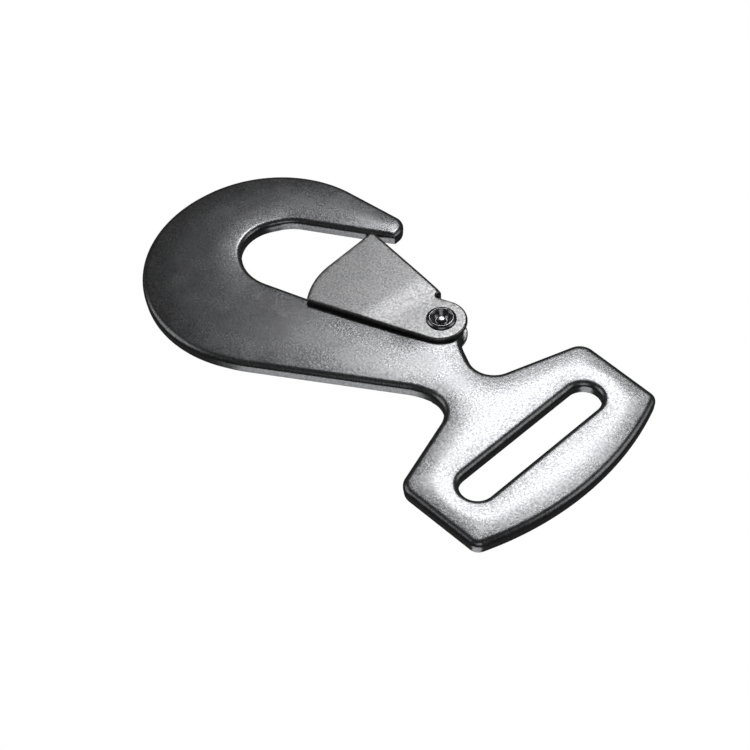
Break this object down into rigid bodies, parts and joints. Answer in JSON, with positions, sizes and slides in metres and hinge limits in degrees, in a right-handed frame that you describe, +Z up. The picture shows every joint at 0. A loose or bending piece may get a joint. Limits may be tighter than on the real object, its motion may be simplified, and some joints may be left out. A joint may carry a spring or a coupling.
{
  "type": "flat snap hook",
  "caption": "Flat steel snap hook with a webbing slot at one end and a folded, sprung keeper on a rivet that closes the hook's mouth.",
  "frame": {"origin": "under the middle of the whole object, level with the lowest point of the rivet's head, as the hook lies on its side", "axes": "+X along the hook toward the webbing end, +Y toward the hook's mouth, +Z up along the rivet, out of the side with the rolled rim"},
  "size_m": [0.1624, 0.0816, 0.0094],
  "materials": {
    "blackened_steel": "grey-black oxide on forged plate, semi-gloss with a fine grain",
    "keeper_steel": "dull grey plated sheet steel",
    "rivet_steel": "dark plated, bright on the rolled rim",
    "spring_steel": "drawn spring wire"
  },
  "bodies": {
    "hook": {"hook_plate": "blackened_steel", "keeper_spring": "spring_steel"},
    "keeper": {"keeper": "keeper_steel", "pivot_rivet": "rivet_steel"}
  },
  "joints": [
    {"name": "keeper_hinge", "type": "hinge", "parent": "hook", "child": "keeper", "pos_m": [0.01172, 0.01756, 0.0048], "axis": [0, 0, 1], "range_deg": [0, 38], "stiffness_Nm_per_rad": 0.24, "springref_deg": -11.46, "deforming": ["keeper_spring"]}
  ]
}
